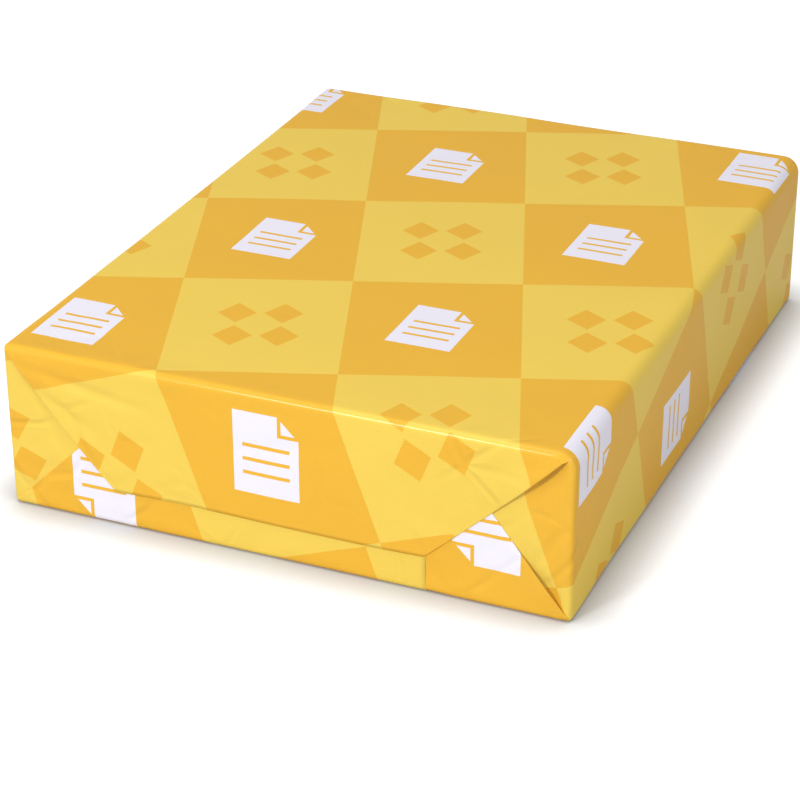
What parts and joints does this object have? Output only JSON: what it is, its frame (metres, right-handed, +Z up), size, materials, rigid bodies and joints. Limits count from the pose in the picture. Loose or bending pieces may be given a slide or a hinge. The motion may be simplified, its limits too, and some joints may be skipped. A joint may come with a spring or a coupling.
{
  "type": "ream of paper",
  "caption": "Sealed ream of letter-size paper in a printed wrapper with folded ends, lying flat.",
  "frame": {"origin": "centre of the bottom face, on the surface the pack lies on", "axes": "+X across the pack, towards the side with the lap seam; +Y along the pack; +Z up through its thickness"},
  "size_m": [0.217, 0.2826, 0.0651],
  "materials": {
    "wrapper": "smooth coated wrapping paper with a slight gloss, printed with a two-tone check"
  },
  "bodies": {
    "root": {"wrapped_ream": "wrapper"}
  },
  "joints": []
}
